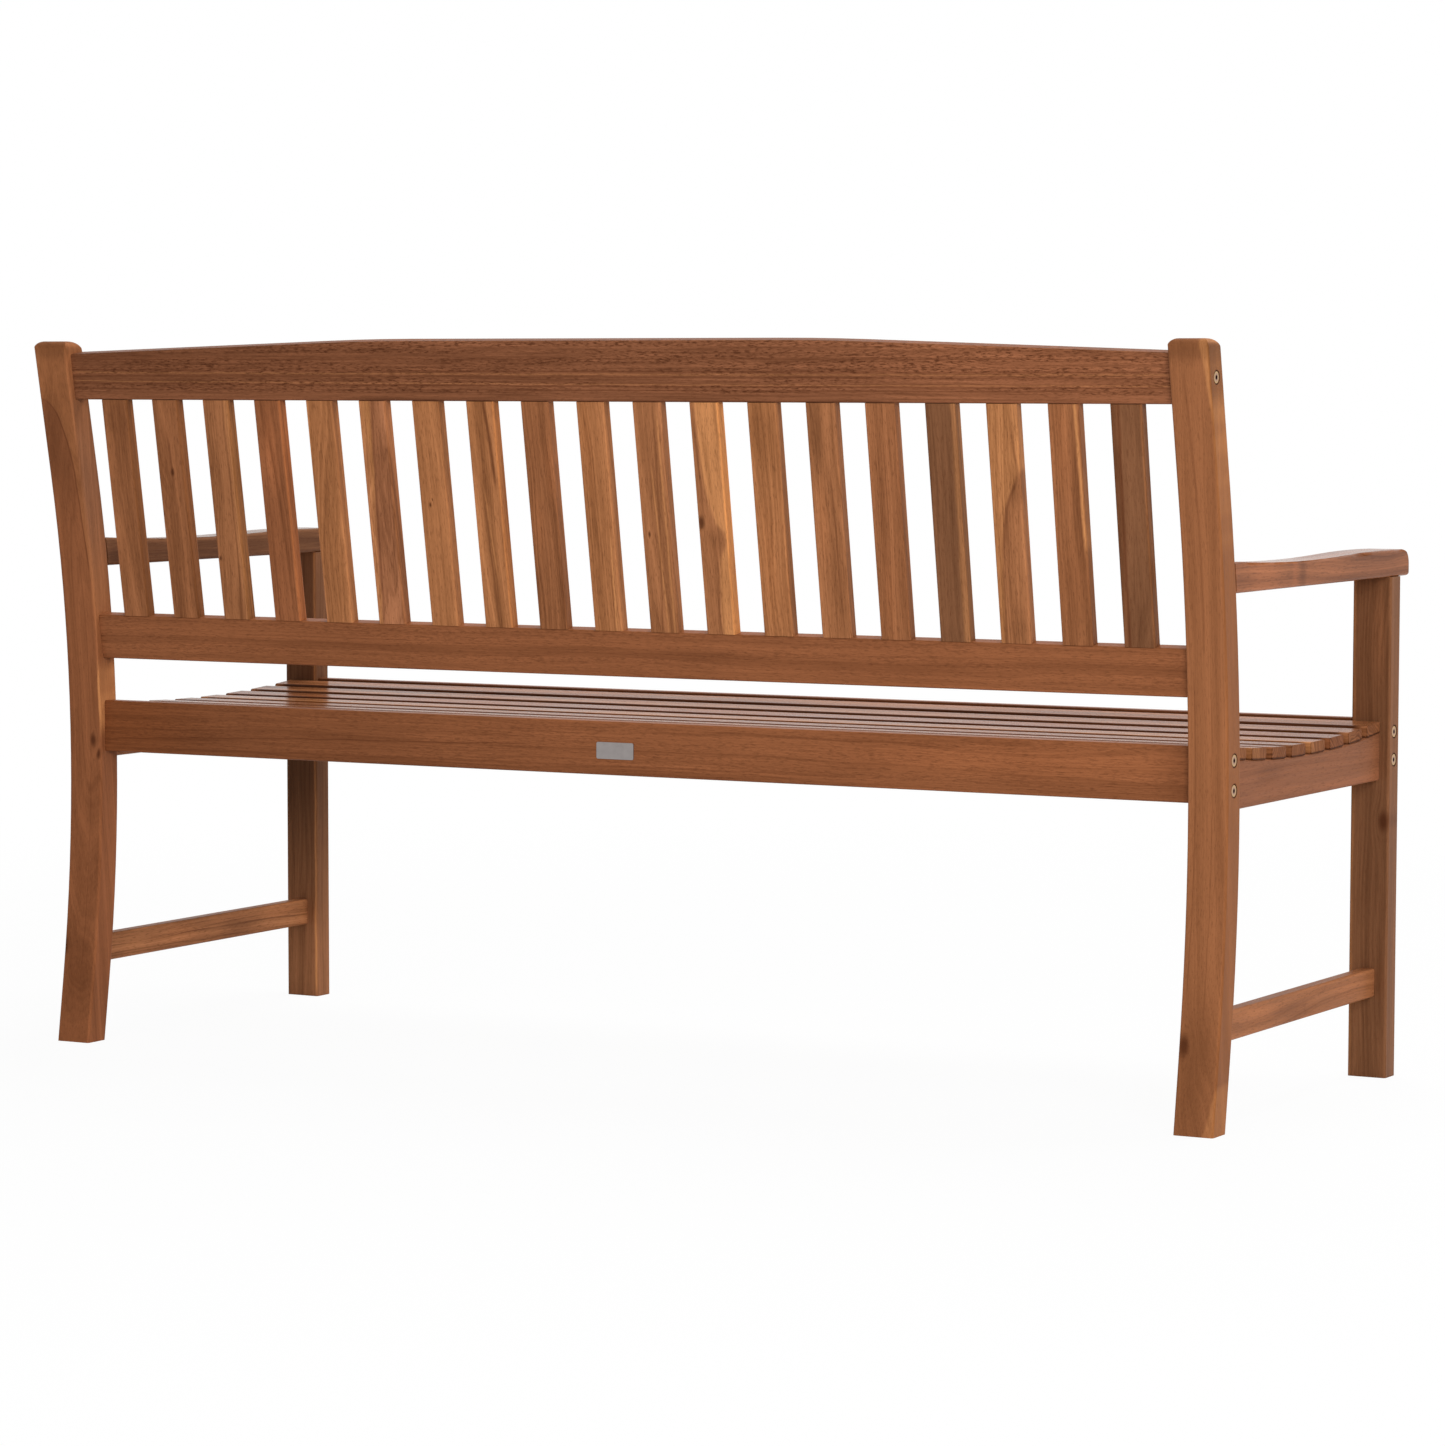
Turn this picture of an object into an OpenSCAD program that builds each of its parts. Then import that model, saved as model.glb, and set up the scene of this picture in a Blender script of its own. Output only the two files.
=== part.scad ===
// Three-seat slatted garden bench with curved rear posts, a leaning slatted back,
// a dished slatted seat and shaped armrests. The long rails are bolted to the two
// side frames with connector bolts and barrel nuts, so the bench knocks down flat.
// X runs along the bench, the sitter faces -Y, and Z = 0 is the ground.

/* [Overall] */
// Length over the outer faces of the legs
bench_w = 1500; // [1300:10:1700]
// Clear depth between the rear posts and the front legs
seat_d = 433.5; // [410:0.5:470]
// Height of the rear posts
post_h = 839; // [830:1:870]

/* [Rear posts and front legs] */
// Width of every post and leg, along the bench
leg_w = 46; // [42:1:54]
// Thickness of the rear posts, front to back
post_t = 35; // [33:1:40]
// Thickness of the front legs, front to back
leg_t = 30; // [28:1:40]
// Radius of the sabre curve, along the middle of the post
bend_r = 1750; // [1550:10:2100]
// Height of the waist, where the curved post stands upright
waist_z = 337; // [325:1:350]
// Height of the straight foot under the curve
foot_h = 75; // [50:1:88]
// Lean of the straight upper part, in degrees
lean = 11.4; // [10.4:0.1:12.4]
// Rounding at the back of the post's top
top_r_back = 10; // [4:1:12]
// Rounding at the front of the post's top
top_r_front = 22; // [8:1:22]
// Rounding at the sides of the post's top
top_r_side = 9; // [3:1:12]
// Rounding along the edges of posts, legs and rails
edge_r = 3; // [2:0.5:4]

/* [Seat frame] */
// Height of the underside of the long seat rails
rail_z = 349; // [345:1:353]
// Height of the long seat rails' boards
rail_h = 61; // [57:1:64]
// Thickness of the long rails of seat and back
rail_t = 20; // [18:1:24]
// How far the back's rails sit in front of the posts' middle
rail_shift = 1; // [0:0.5:2]
// Height of the underside of the side rails
side_z = 340; // [334:1:344]
// Height of the side rails at their ends
side_h = 55; // [52:1:58]
// Thickness of the side rails
side_t = 22; // [20:1:26]
// Depth of the dish in the side rails' top edge
dish = 10; // [6:1:14]
// Distance of the seat bearers from the middle of the bench
bearer_x = 235; // [180:5:300]
// Thickness of the seat bearers
bearer_t = 22; // [20:1:26]
// Height of the underside of the seat bearers
bearer_z = 354; // [352:1:358]

/* [Seat slats] */
// Number of seat slats
seat_n = 8; // [7:1:8]
// Width of a seat slat
seat_w = 39; // [36:1:41]
// Thickness of a seat slat
seat_t = 13; // [12:1:16]
// Gap between the outer seat slats and the posts and legs
seat_end = 1; // [0.5:0.5:3]
// How far the seat slats pass the outer faces of the side rails
seat_over = 1; // [0:0.5:4]

/* [Back] */
// Height of the lower back rail's middle
low_z = 488.5; // [480:0.5:500]
// Height of the lower back rail's board
low_h = 53; // [48:1:58]
// Height of the crest rail's bolts
crest_z = 798.5; // [790:0.5:802]
// Height of the crest rail's board at its ends
crest_end_h = 54.5; // [52:0.5:58]
// Height of the crest rail's board in the middle
crest_mid_h = 69; // [65:0.5:74]
// Half the length of the crest rail's level top
crest_flat = 240; // [180:10:300]
// Radius of the crest rail's shoulders
crest_r = 3000; // [2000:100:4000]
// Number of back slats
back_n = 19; // [15:1:19]
// Width of a back slat
back_w = 36; // [32:1:40]
// Thickness of a back slat
back_t = 14; // [12:1:15]
// How far the back slats sit in front of the rails' rear face
back_inset = 0.3; // [0.2:0.1:1.5]
// Extra room between the outer back slats and the posts
back_end = 1; // [0:0.5:6]

/* [Armrests and stretchers] */
// Height of the armrests' underside
arm_z = 571.5; // [560:0.5:585]
// Thickness of an armrest at its waist
arm_t = 27.5; // [25:0.5:32]
// Distance of the armrest's waist in front of the rear posts' middle
arm_waist = 213; // [190:1:235]
// Length of the rising stretch in front of the waist
arm_rise = 120; // [90:5:140]
// Radius of the hollow in the armrest's top
arm_hollow_r = 3600; // [3000:100:4600]
// Radius of the hump at the armrest's front
arm_hump_r = 2700; // [2200:100:3400]
// How far an armrest passes the front leg
arm_nose = 24; // [14:1:30]
// Rounding of the armrest's nose
nose_r = 17; // [8:1:20]
// Height of the underside of the lower stretchers
stretcher_z = 92.5; // [80:0.5:120]
// Height of a lower stretcher
stretcher_h = 33; // [28:1:40]
// Thickness of a lower stretcher
stretcher_t = 17; // [15:1:22]

/* [Joints and fasteners] */
// Length of the side frames' tenons
tenon_l = 10; // [8:0.5:11]
// Thickness of the side frames' tenons
tenon_t = 9; // [8:0.5:11]
// Length of the back slats' tenons
slat_tenon_l = 12; // [9:0.5:15]
// Clearance on each side of a tenon in its mortise
fit = 0.2; // [0.1:0.05:0.3]
// Shank diameter of the connector bolts
bolt_d = 6; // [5:0.5:6.5]
// Head diameter of the connector bolts
bolt_head_d = 13; // [11:0.5:14]
// Length of the connector bolts under the head
bolt_l = 78; // [74:1:84]
// Distance between the two bolts of a seat rail
bolt_gap = 32; // [28:1:36]
// Diameter of the barrel nuts
nut_d = 10; // [9:0.5:11]
// Distance of the barrel nuts from the rails' ends
nut_in = 24; // [22:1:28]
// Diameter of the wooden dowels
dowel_d = 8; // [6:0.5:9]
// Length of the wooden dowels at the back's rails
dowel_l = 40; // [34:1:44]
// Shank diameter of the slat screws
screw_d = 4; // [3.5:0.5:4.5]
// Length of the slat screws
screw_l = 34; // [32:1:36]

/* [Blank plate] */
// Length of the metal plate on the rear seat rail
plate_w = 48; // [40:1:56]
// Height of the metal plate
plate_h = 19; // [17:1:24]
// Thickness of the metal plate
plate_t = 1; // [0.8:0.1:1.4]
// Radius of the plate's corners
plate_r = 2; // [1:0.5:4]
// Distance of the plate's middle below the middle of the rail
plate_drop = 2.5; // [0:0.5:6]
// Distance of the plate's middle from the middle of the bench
plate_aside = 2.5; // [0:0.5:12]

/* [Hidden] */
function pad(i) = str(i < 10 ? "0" : "", i);
function seat_name(i) = str("seat_slat_", i);
function back_name(i) = str("back_slat_", pad(i));

LEFT = 1;
RIGHT = -1;
curve_fn = 1080;
bore_fn = 32;
edge_fn = 24;
past = 1;          // how far a cutter runs past the face that it opens
far = 400;         // reach of a cutter that trims a whole end
hair = 0.02;       // step between a curve and the straight run that carries it on
lap = 2;           // how far the straight run starts inside the curve
leg_x = (bench_w - leg_w) / 2;
inner_x = bench_w / 2 - leg_w;

// --- Middle line and faces of the curved rear posts -------------------------------------
lean_y = bend_r * (1 - cos(lean));
lean_z = waist_z + bend_r * sin(lean);
foot_a = asin((waist_z - foot_h) / bend_r);
foot_y = bend_r * (1 - cos(foot_a));
function post_y(z, out = 0) =
  z < foot_h ? foot_y + (foot_h - z) * tan(foot_a) - out / cos(foot_a)
  : z < lean_z ? bend_r - sqrt(pow(bend_r + out, 2) - pow(z - waist_z, 2))
  : lean_y + (z - lean_z) * tan(lean) - out / cos(lean);
function post_front(z) = post_y(z, post_t / 2);
post_face = -post_t / 2;
leg_face = post_face - seat_d;
leg_y = leg_face - leg_t / 2;

// --- Rounded corner of a side outline, between edges that leave it at two angles ---------
function along(a) = [cos(a), sin(a)];
function corner_centre(p, a, b, r) = p + r / sin((b - a) / 2) * along((a + b) / 2);
down_a = 270 - lean;
top_y = post_y(post_h);
half_top = post_t / 2 / cos(lean);
back_corner = [top_y + half_top, post_h];
front_corner = [top_y - half_top, post_h];

// --- The whole bench is centred front to back on its own outline -------------------------
back_y = corner_centre(back_corner, 180, down_a, top_r_back)[0] + top_r_back;
nose_y = leg_face - leg_t - arm_nose;
mid_y = (back_y + nose_y) / 2;

// --- Dish of the seat --------------------------------------------------------------------
dish_y = post_face - seat_d / 2;
dish_r = (seat_d * seat_d / 4 + dish * dish) / (2 * dish);
dish_c = side_z + side_h - dish + dish_r;
dish_a = asin((seat_d / 2 + post_t + leg_t) / dish_r);
seat_pitch = (seat_d - 2 * seat_end - seat_w) / (seat_n - 1);
seat_lift = dish_r - sqrt(dish_r * dish_r - seat_w * seat_w / 4) + hair;
seat_l = bench_w - leg_w + side_t + 2 * seat_over;
function slat_turn(i) = asin((post_face - seat_end - seat_w / 2 - (i - 1) * seat_pitch - dish_y) / dish_r);

// --- Plane of the back -------------------------------------------------------------------
back_tilt = atan2(post_y(crest_z) - post_y(low_z), crest_z - low_z);
crest_bolt = (crest_z - low_z) / cos(back_tilt);
crest_lo = crest_bolt - crest_end_h / 2;
back_l = crest_lo - low_h / 2;
back_y0 = post_y(low_z) - rail_shift;
back_pitch = (2 * (inner_x - back_end) + back_w) / (back_n + 1);
slat_y = rail_t / 2 - back_inset - back_t / 2;
slat_tenon_t = back_t / 2;
slat_tenon_w = back_w - slat_tenon_t;
crest_rise = crest_mid_h - crest_end_h;
shoulder_l = inner_x - crest_flat;
// The shoulder's turn makes its arc and the slope after it fall by the whole rise
crest_turn = asin(shoulder_l / sqrt(shoulder_l * shoulder_l + pow(crest_r - crest_rise, 2)))
           - acos(crest_r / sqrt(shoulder_l * shoulder_l + pow(crest_r - crest_rise, 2)));

// --- Armrest top -------------------------------------------------------------------------
arm_a = asin(arm_rise / arm_hollow_r);
arm_low = arm_z + arm_t;
arm_end = post_y(arm_z + arm_t);
arm_back_a = asin((arm_waist + arm_end + arm_t) / arm_hollow_r);
arm_lap = asin(lap / arm_hollow_r);
hump_y = -arm_waist - (arm_hollow_r + arm_hump_r) * sin(arm_a);
hump_c = arm_low + arm_hollow_r - (arm_hollow_r + arm_hump_r) * cos(arm_a);
nose_a = asin((hump_y - nose_y) / arm_hump_r);
hump_a = nose_a + asin(arm_t / arm_hump_r);
arm_r = edge_r + 1;

// --- Tenons of the side frames, each with a shoulder all round ---------------------------
shoulder = 6;
wide_shoulder = 8;
side_tenon_h = side_h - dish - 2 * shoulder;
side_tenon_z = side_z + (side_h - dish) / 2;
stretcher_mid = stretcher_z + stretcher_h / 2;
stretcher_tenon_h = stretcher_h - 2 * shoulder;
arm_tenon_z = arm_z + arm_t / 2;
arm_tenon_h = arm_t - 2 * shoulder;
arm_tenon_w = leg_w - 2 * wide_shoulder;
leg_tenon_h = arm_t / 2 + 1;

// --- Fastener stations: [y, z] on the legs' outer faces ----------------------------------
rail_mid = rail_z + rail_h / 2;
bolt_zs = [rail_mid - bolt_gap / 2, rail_mid + bolt_gap / 2];
rear_bolts = [for (z = bolt_zs) [0, z]];
front_bolts = [for (z = bolt_zs) [leg_y, z]];
crest_bolts_at = [[post_y(crest_z), crest_z]];
head_h = 2.6;
head_sink = 0.4;
head_gap = 1;
shank_gap = 0.5;
nut_h = 12;
nut_fit = 0.15;
thread_fit = 0.1;
dowel_fit = 0.1;
dowel_end = 0.5;
low_dowels = [-low_h / 4, low_h / 4];
dowel_gap = 30;
crest_dowels = [for (s = [-1, 1]) crest_bolt + s * dowel_gap / 2];
bearer_dowel_l = 22;
bearer_dowel_zs = [bearer_z + 9, bearer_z + 25];
screw_head_d = 8;
screw_head_h = 2.5;
screw_bite = 9;

// ===== Helpers ===========================================================================
module placed() translate([0, -mid_y, 0]) children();

module board(w, h, r = edge_r) {
  square([w - 2 * r, h], center = true);
  square([w, h - 2 * r], center = true);
  if (r > 0) for (x = [-1, 1], y = [-1, 1])
    translate([x * (w / 2 - r), y * (h / 2 - r)]) circle(r, $fn = edge_fn);
}

// A board under x = 0 whose top corners alone are rounded
module capped(w, h, r = edge_r) {
  translate([-h, -w / 2]) square([h - r, w]);
  translate([-h, -w / 2 + r]) square([h, w - 2 * r]);
  for (y = [-1, 1]) translate([-r, y * (w / 2 - r)]) circle(r, $fn = edge_fn);
}

// What a cutter takes off a board of this width: all above x = 0, and its two corners. The
// corners' curves run a hair past the board's sides, so that the surfaces cross.
module planed(w, r = edge_r) difference() {
  translate([-r, -w / 2 - past]) square([r + 3 * w, w + 2 * past]);
  capped(w + 2 * hair, 3 * r, r);
}

// A side outline, drawn with y to the right and z up, given a width along X
module across(w) rotate([90, 0, 90]) linear_extrude(w, center = true) children();

// A front outline, drawn with x to the right and z up, given a length along Y
module along_y(l) rotate([90, 0, 0]) linear_extrude(l, center = true) children();

module bar_x(l, t, h) across(l) board(t, h);

module bar_y(y0, y1, w, h, r = edge_r)
  translate([0, y1, 0]) rotate([90, 0, 0]) linear_extrude(y1 - y0) board(w, h, r);

// A section swept on an arc in the side plane, where 0 degrees is the front and 90 is up:
// the section's x points away from the centre of the arc
module arc_side(c, a0, a1) translate([0, c[0], c[1]]) rotate([90, 0, -90])
  rotate(a0) rotate_extrude(angle = a1 - a0, $fn = curve_fn) children();

// What a rounding takes off the corner p, whose two edges leave it at the angles a and b
module corner_waste(p, a, b, r) {
  c = corner_centre(p, a, b, r);
  reach = r / tan((b - a) / 2);
  difference() {
    polygon(concat([c], [for (q = [p + reach * along(a), p, p + reach * along(b)])
      c + 1.3 * (q - c)]));
    translate(c) circle(r, $fn = 2 * bore_fn);
  }
}

module back_frame() translate([0, back_y0, low_z]) rotate([-back_tilt, 0, 0]) children();

// Frame of a seat slat: z = 0 is the dished top edge under it
module on_dish(i) translate([0, dish_y, dish_c]) rotate([slat_turn(i), 0, 0])
  translate([0, 0, -dish_r]) children();

// Frame of a bolt: z = 0 is the leg's outer face and z runs into the wood
module at_bolt(side, p) translate([side * bench_w / 2, p[0], p[1]]) rotate([0, -90 * side, 0])
  children();

module at_nut(side, p, tilt = 0) translate([side * (inner_x - nut_in), p[0], p[1]])
  rotate([-tilt, 0, 0]) children();

// ===== Fasteners and the holes for them ==================================================
module bolt() {
  difference() {
    translate([0, 0, head_sink]) cylinder(d = bolt_head_d, h = head_h, $fn = bore_fn);
    translate([0, 0, head_sink - past]) cylinder(d = bolt_d * 0.75, h = past + 2, $fn = 6);
  }
  translate([0, 0, head_sink + head_h]) cylinder(d = bolt_d, h = bolt_l, $fn = bore_fn);
}

module bolt_hole() {
  translate([0, 0, -past])
    cylinder(d = bolt_head_d + 2 * head_gap, h = past + head_sink + head_h, $fn = bore_fn);
  cylinder(d = bolt_d + 2 * shank_gap, h = head_sink + head_h + bolt_l + 3, $fn = bore_fn);
}

module barrel_nut() difference() {
  rotate([90, 0, 0]) cylinder(d = nut_d, h = nut_h, center = true, $fn = bore_fn);
  rotate([0, 90, 0])
    cylinder(d = bolt_d + 2 * thread_fit, h = nut_d + 2 * past, center = true, $fn = bore_fn);
  translate([0, -nut_h / 2, 0]) cube([nut_d + 2 * past, 2, 1.2], center = true);
}

// The nut goes in from the rail's front face
module nut_hole() translate([0, nut_h / 2 + nut_fit, 0]) rotate([90, 0, 0])
  cylinder(d = nut_d + 2 * nut_fit, h = nut_h + rail_t, $fn = bore_fn);

module dowel(l, gap = 0, extra = 0)
  cylinder(d = dowel_d + 2 * gap, h = l + 2 * extra, center = true, $fn = bore_fn);

module dowels_x(side, zs, gap = 0, extra = 0)
  for (z = zs) translate([side * inner_x, 0, z]) rotate([0, 90, 0]) dowel(dowel_l, gap, extra);

module back_dowel_set(side, gap = 0, extra = 0)
  back_frame() dowels_x(side, concat(low_dowels, crest_dowels), gap, extra);

module bearer_dowel_set(side, gap = 0, extra = 0)
  for (y = [-rail_shift - rail_t / 2, leg_y + rail_t / 2], z = bearer_dowel_zs)
    translate([side * bearer_x, y, z]) rotate([90, 0, 0]) dowel(bearer_dowel_l, gap, extra);

module screw() {
  translate([0, 0, screw_bite - screw_l]) cylinder(d = screw_d, h = screw_l, $fn = bore_fn);
  translate([0, 0, screw_bite - screw_l - screw_head_h])
    cylinder(d = screw_head_d, h = screw_head_h, $fn = bore_fn);
}

module screw_hole() {
  translate([0, 0, screw_bite - screw_l])
    cylinder(d = screw_d + 2 * thread_fit, h = screw_l + 0.5, $fn = bore_fn);
  translate([0, 0, screw_bite - screw_l - far])
    cylinder(d = screw_head_d + 1, h = far, $fn = bore_fn);
}

// ===== Side frames =======================================================================
// A straight run that carries the post's curve on from a point, tilted by an angle
module post_run(y, z, tilt, l, t, w, r) translate([0, y, z]) rotate([-tilt, 0, 0])
  translate([0, 0, -lap]) rotate(-90) linear_extrude(l + lap) board(t - 2 * hair, w - 2 * hair, r);

module follow_post(t, w, r) {
  post_run(foot_y, foot_h, 180 - foot_a, foot_h + lap + post_t, t, w, r);
  arc_side([bend_r, waist_z], -foot_a, lean) translate([bend_r, 0]) board(t, w, r);
  post_run(lean_y, lean_z, lean, post_h - lean_z + post_t, t, w, r);
}

// The post's faces without their rounded edges, to scribe rails to
module post_body() follow_post(post_t, leg_w + 2 * past, 0);

module tenon(y0, y1, z, w, h, gap = 0) translate([0, (y0 + y1) / 2, z])
  cube([w + 2 * gap, y1 - y0, h + 2 * gap], center = true);

// Tenons that enter the rear post, and with a gap the mortises for them
module rear_tenons(gap = 0) {
  extra = gap > 0 ? dowel_end : 0;
  for (t = [[side_tenon_z, tenon_t, side_tenon_h], [stretcher_mid, tenon_t, stretcher_tenon_h],
            [arm_tenon_z, arm_tenon_w, arm_tenon_h]])
    tenon(post_front(t[0]) - 2 * tenon_l, post_front(t[0]) + tenon_l + extra, t[0], t[1], t[2], gap);
}

module front_tenons(gap = 0) {
  extra = gap > 0 ? dowel_end : 0;
  for (t = [[side_tenon_z, side_tenon_h], [stretcher_mid, stretcher_tenon_h]])
    tenon(leg_face - tenon_l - extra, leg_face + 2 * tenon_l, t[0], tenon_t, t[1], gap);
}

module leg_tenon(gap = 0) translate([0, leg_y, arm_z - past])
  linear_extrude(leg_tenon_h + past + (gap > 0 ? dowel_end : 0))
    square([arm_tenon_w + 2 * gap, leg_t - 2 * wide_shoulder + 2 * gap], center = true);

module rear_post(side) color("peru") placed() difference() {
  translate([side * leg_x, 0, 0]) difference() {
    follow_post(post_t, leg_w, edge_r);
    translate([0, 0, -far / 2]) cube(far, center = true);
    translate([0, top_y, post_h + far / 2]) cube(far, center = true);
    across(leg_w + 2 * past) {
      corner_waste(back_corner, 180, down_a, top_r_back);
      corner_waste(front_corner, -90 - lean, 0, top_r_front);
    }
    translate([0, top_y, 0]) along_y(2 * post_t) {
      corner_waste([-leg_w / 2, post_h], -90, 0, top_r_side);
      corner_waste([leg_w / 2, post_h], 180, 270, top_r_side);
    }
    rear_tenons(fit);
  }
  for (p = concat(rear_bolts, crest_bolts_at)) at_bolt(side, p) bolt_hole();
  back_dowel_set(side, dowel_fit, dowel_end);
}

module front_leg(side) color("peru") placed() difference() {
  translate([side * leg_x, 0, 0]) {
    difference() {
      translate([0, leg_y, 0]) linear_extrude(arm_z) board(leg_w, leg_t);
      front_tenons(fit);
    }
    leg_tenon();
  }
  for (p = front_bolts) at_bolt(side, p) bolt_hole();
}

module armrest_blank() difference() {
  translate([0, (nose_y + arm_end) / 2, arm_z]) rotate([90, 0, 0])
    rotate(-90) linear_extrude(arm_end - nose_y, center = true) capped(leg_w, 2 * arm_t, arm_r);
  arc_side([-arm_waist, arm_low + arm_hollow_r], -90 - arm_back_a, -90 + arm_a + arm_lap)
    translate([arm_hollow_r - hair, 0]) mirror([1, 0]) planed(leg_w, arm_r);
  arc_side([hump_y, hump_c], 90 - hump_a, 90 + arm_a)
    translate([arm_hump_r, 0]) planed(leg_w, arm_r);
}

module armrest(side) color("sienna") placed() translate([side * leg_x, 0, 0]) {
  difference() {
    armrest_blank();
    post_body();
    leg_tenon(fit);
    across(leg_w + 2 * past) {
      corner_waste([nose_y, hump_c + arm_hump_r * cos(nose_a)], -90, nose_a, nose_r);
      corner_waste([nose_y, arm_z], 0, 90, edge_r);
    }
  }
  tenon(post_front(arm_tenon_z) - past, post_front(arm_tenon_z) + tenon_l, arm_tenon_z,
        arm_tenon_w, arm_tenon_h);
}

// A board between y0 and y1 whose top is planed hollow to the seat's dish
module dished(z0, t, y0, y1) difference() {
  translate([0, (y0 + y1) / 2, z0]) rotate([90, 0, 0]) rotate(-90)
    linear_extrude(y1 - y0, center = true) capped(t, side_h + 2 * dish, edge_r);
  arc_side([dish_y, dish_c], -90 - dish_a, -90 + dish_a)
    translate([dish_r, 0]) mirror([1, 0]) planed(t, edge_r - 1);
}

module seat_side_rail(side) color("sienna") placed() difference() {
  translate([side * leg_x, 0, 0]) {
    difference() {
      dished(side_z, side_t, leg_face, 0);
      post_body();
    }
    tenon(leg_face - tenon_l, leg_face + past, side_tenon_z, tenon_t, side_tenon_h);
    tenon(post_front(side_tenon_z) - past, post_front(side_tenon_z) + tenon_l, side_tenon_z,
          tenon_t, side_tenon_h);
  }
  for (i = [1:seat_n]) translate([side * leg_x, 0, 0]) on_dish(i) screw_hole();
}

module lower_stretcher(side) color("peru") placed() translate([side * leg_x, 0, 0]) {
  difference() {
    translate([0, 0, stretcher_mid])
      bar_y(leg_face, post_front(stretcher_z) + post_t / 2, stretcher_t, stretcher_h);
    post_body();
  }
  tenon(leg_face - tenon_l, leg_face + past, stretcher_mid, tenon_t, stretcher_tenon_h);
  tenon(post_front(stretcher_mid) - past, post_front(stretcher_mid) + tenon_l, stretcher_mid,
        tenon_t, stretcher_tenon_h);
}

// ===== Long rails ========================================================================
module seat_rail(y, bolts) color("saddlebrown") placed() difference() {
  translate([0, y, rail_mid]) bar_x(2 * inner_x, rail_t, rail_h);
  for (side = [LEFT, RIGHT]) {
    for (p = bolts) {
      at_bolt(side, p) bolt_hole();
      at_nut(side, p) nut_hole();
    }
    bearer_dowel_set(side, dowel_fit, dowel_end);
  }
}

module rear_seat_rail() seat_rail(-rail_shift, rear_bolts);
module front_seat_rail() seat_rail(leg_y, front_bolts);

module back_slat_place(i) translate([(i - (back_n + 1) / 2) * -back_pitch, slat_y, 0]) children();

module slat_mortises(z, up) for (i = [1:back_n]) back_slat_place(i)
  translate([0, 0, z + up * (slat_tenon_l + dowel_end - past) / 2])
    cube([slat_tenon_w + 2 * fit, slat_tenon_t + 2 * fit, slat_tenon_l + dowel_end + past],
         center = true);

module lower_back_rail() color("sienna") placed() difference() {
  back_frame() bar_x(2 * inner_x, rail_t, low_h);
  back_frame() slat_mortises(low_h / 2, -1);
  for (side = [LEFT, RIGHT]) back_dowel_set(side, dowel_fit, dowel_end);
}

// One end of the crest's top: round shoulder, then a straight slope
module crest_shoulder() {
  slope_x = crest_flat + crest_r * sin(crest_turn);
  slope_z = crest_mid_h - crest_r * (1 - cos(crest_turn));
  translate([crest_flat, 0, crest_mid_h - crest_r]) rotate([90, 0, 0]) rotate(90 - crest_turn)
    rotate_extrude(angle = crest_turn, $fn = curve_fn) translate([crest_r, 0]) planed(rail_t);
  translate([slope_x, 0, slope_z]) rotate([0, 90 + crest_turn, 0]) rotate(180)
    translate([hair, 0, -lap]) linear_extrude(inner_x) planed(rail_t);
}

module crest_blank() difference() {
  rotate([0, -90, 0])
    linear_extrude(2 * inner_x, center = true) mirror([1, 0]) capped(rail_t, crest_mid_h + rail_t);
  translate([0, 0, crest_mid_h + hair]) rotate([0, 90, 0]) rotate(180)
    linear_extrude(2 * (crest_flat + lap), center = true) planed(rail_t);
  for (turn = [0, 180]) rotate(turn) crest_shoulder();
}

module crest_rail() color("brown") placed() difference() {
  back_frame() translate([0, 0, crest_lo]) crest_blank();
  back_frame() slat_mortises(crest_lo, 1);
  for (side = [LEFT, RIGHT]) {
    back_dowel_set(side, dowel_fit, dowel_end);
    for (p = crest_bolts_at) {
      at_bolt(side, p) bolt_hole();
      at_nut(side, p, back_tilt) nut_hole();
    }
  }
}

// ===== Slats and bearers =================================================================
module seat_bearer(side) color("sienna") placed() difference() {
  translate([side * bearer_x, 0, 0]) difference() {
    dished(bearer_z, bearer_t, leg_y + rail_t / 2, -rail_shift - rail_t / 2);
    for (i = [1:seat_n]) on_dish(i) screw_hole();
  }
  bearer_dowel_set(side, dowel_fit, dowel_end);
}

screw_xs = [-leg_x, -bearer_x, bearer_x, leg_x];

module seat_slat(i) color("rosybrown") placed() on_dish(i) difference() {
  translate([0, 0, seat_lift + seat_t / 2]) bar_x(seat_l, seat_w, seat_t);
  for (x = screw_xs) translate([x, 0, 0]) screw_hole();
}

module back_slat(i) color("peru") placed() back_frame() back_slat_place(i) {
  translate([0, 0, low_h / 2]) linear_extrude(back_l) board(back_w, back_t, edge_r - 1);
  translate([0, 0, low_h / 2 + back_l / 2])
    cube([slat_tenon_w, slat_tenon_t, back_l + 2 * slat_tenon_l], center = true);
}

// ===== Groups of equal fasteners =========================================================
module bolts_at(places) color("gold") placed()
  for (side = [LEFT, RIGHT], p = places) at_bolt(side, p) bolt();
module crest_bolts() bolts_at(crest_bolts_at);
module rear_rail_bolts() bolts_at(rear_bolts);
module front_rail_bolts() bolts_at(front_bolts);

module barrel_nuts() color("silver") placed() for (side = [LEFT, RIGHT]) {
  for (p = concat(rear_bolts, front_bolts)) at_nut(side, p) barrel_nut();
  for (p = crest_bolts_at) at_nut(side, p, back_tilt) barrel_nut();
}

module back_dowels() color("tan") placed() for (side = [LEFT, RIGHT]) back_dowel_set(side);
module bearer_dowels() color("tan") placed() for (side = [LEFT, RIGHT]) bearer_dowel_set(side);

module slat_screws() color("silver") placed()
  for (i = [1:seat_n], x = screw_xs) translate([x, 0, 0]) on_dish(i) screw();

module blank_plate() color("silver") placed()
  translate([-plate_aside, rail_t / 2 - rail_shift, rail_mid - plate_drop]) rotate([-90, 0, 0])
    linear_extrude(plate_t) board(plate_w, plate_h, plate_r);

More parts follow.
